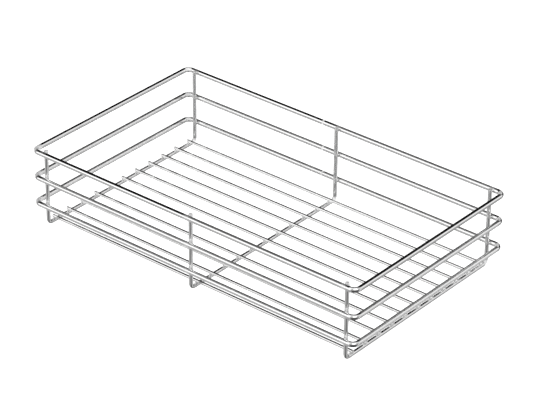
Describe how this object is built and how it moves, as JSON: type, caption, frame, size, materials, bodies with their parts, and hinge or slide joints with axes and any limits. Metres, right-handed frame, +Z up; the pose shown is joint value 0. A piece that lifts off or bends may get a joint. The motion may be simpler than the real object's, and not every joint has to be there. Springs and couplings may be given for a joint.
{
  "type": "pull out cabinet basket",
  "caption": "Shallow rectangular chrome wire basket with round-cornered rail hoops, U-shaped cross frames and a floor of straight wires, for use as a cabinet drawer insert.",
  "frame": {"origin": "middle of the footprint at the underside of the cross wires, where the basket rests", "axes": "+X along the long side, +Y along the short side away from the viewer of the picture, +Z up"},
  "size_m": [0.5, 0.29, 0.104],
  "materials": {
    "hoop_wire": "bright chrome plate on drawn steel wire",
    "frame_wire": "bright chrome plate on drawn steel wire",
    "floor_wire": "bright chrome plate on drawn steel wire"
  },
  "bodies": {
    "root": {"rim_hoop_top": "hoop_wire", "side_hoop_middle": "hoop_wire", "side_hoop_bottom": "hoop_wire", "cross_frame_left": "frame_wire", "cross_frame_middle": "frame_wire", "cross_frame_right": "frame_wire", "floor_wire_01": "floor_wire", "floor_wire_02": "floor_wire", "floor_wire_03": "floor_wire", "floor_wire_04": "floor_wire", "floor_wire_05": "floor_wire", "floor_wire_06": "floor_wire", "floor_wire_07": "floor_wire", "floor_wire_08": "floor_wire", "floor_wire_09": "floor_wire", "floor_wire_10": "floor_wire", "floor_wire_11": "floor_wire"}
  },
  "joints": []
}
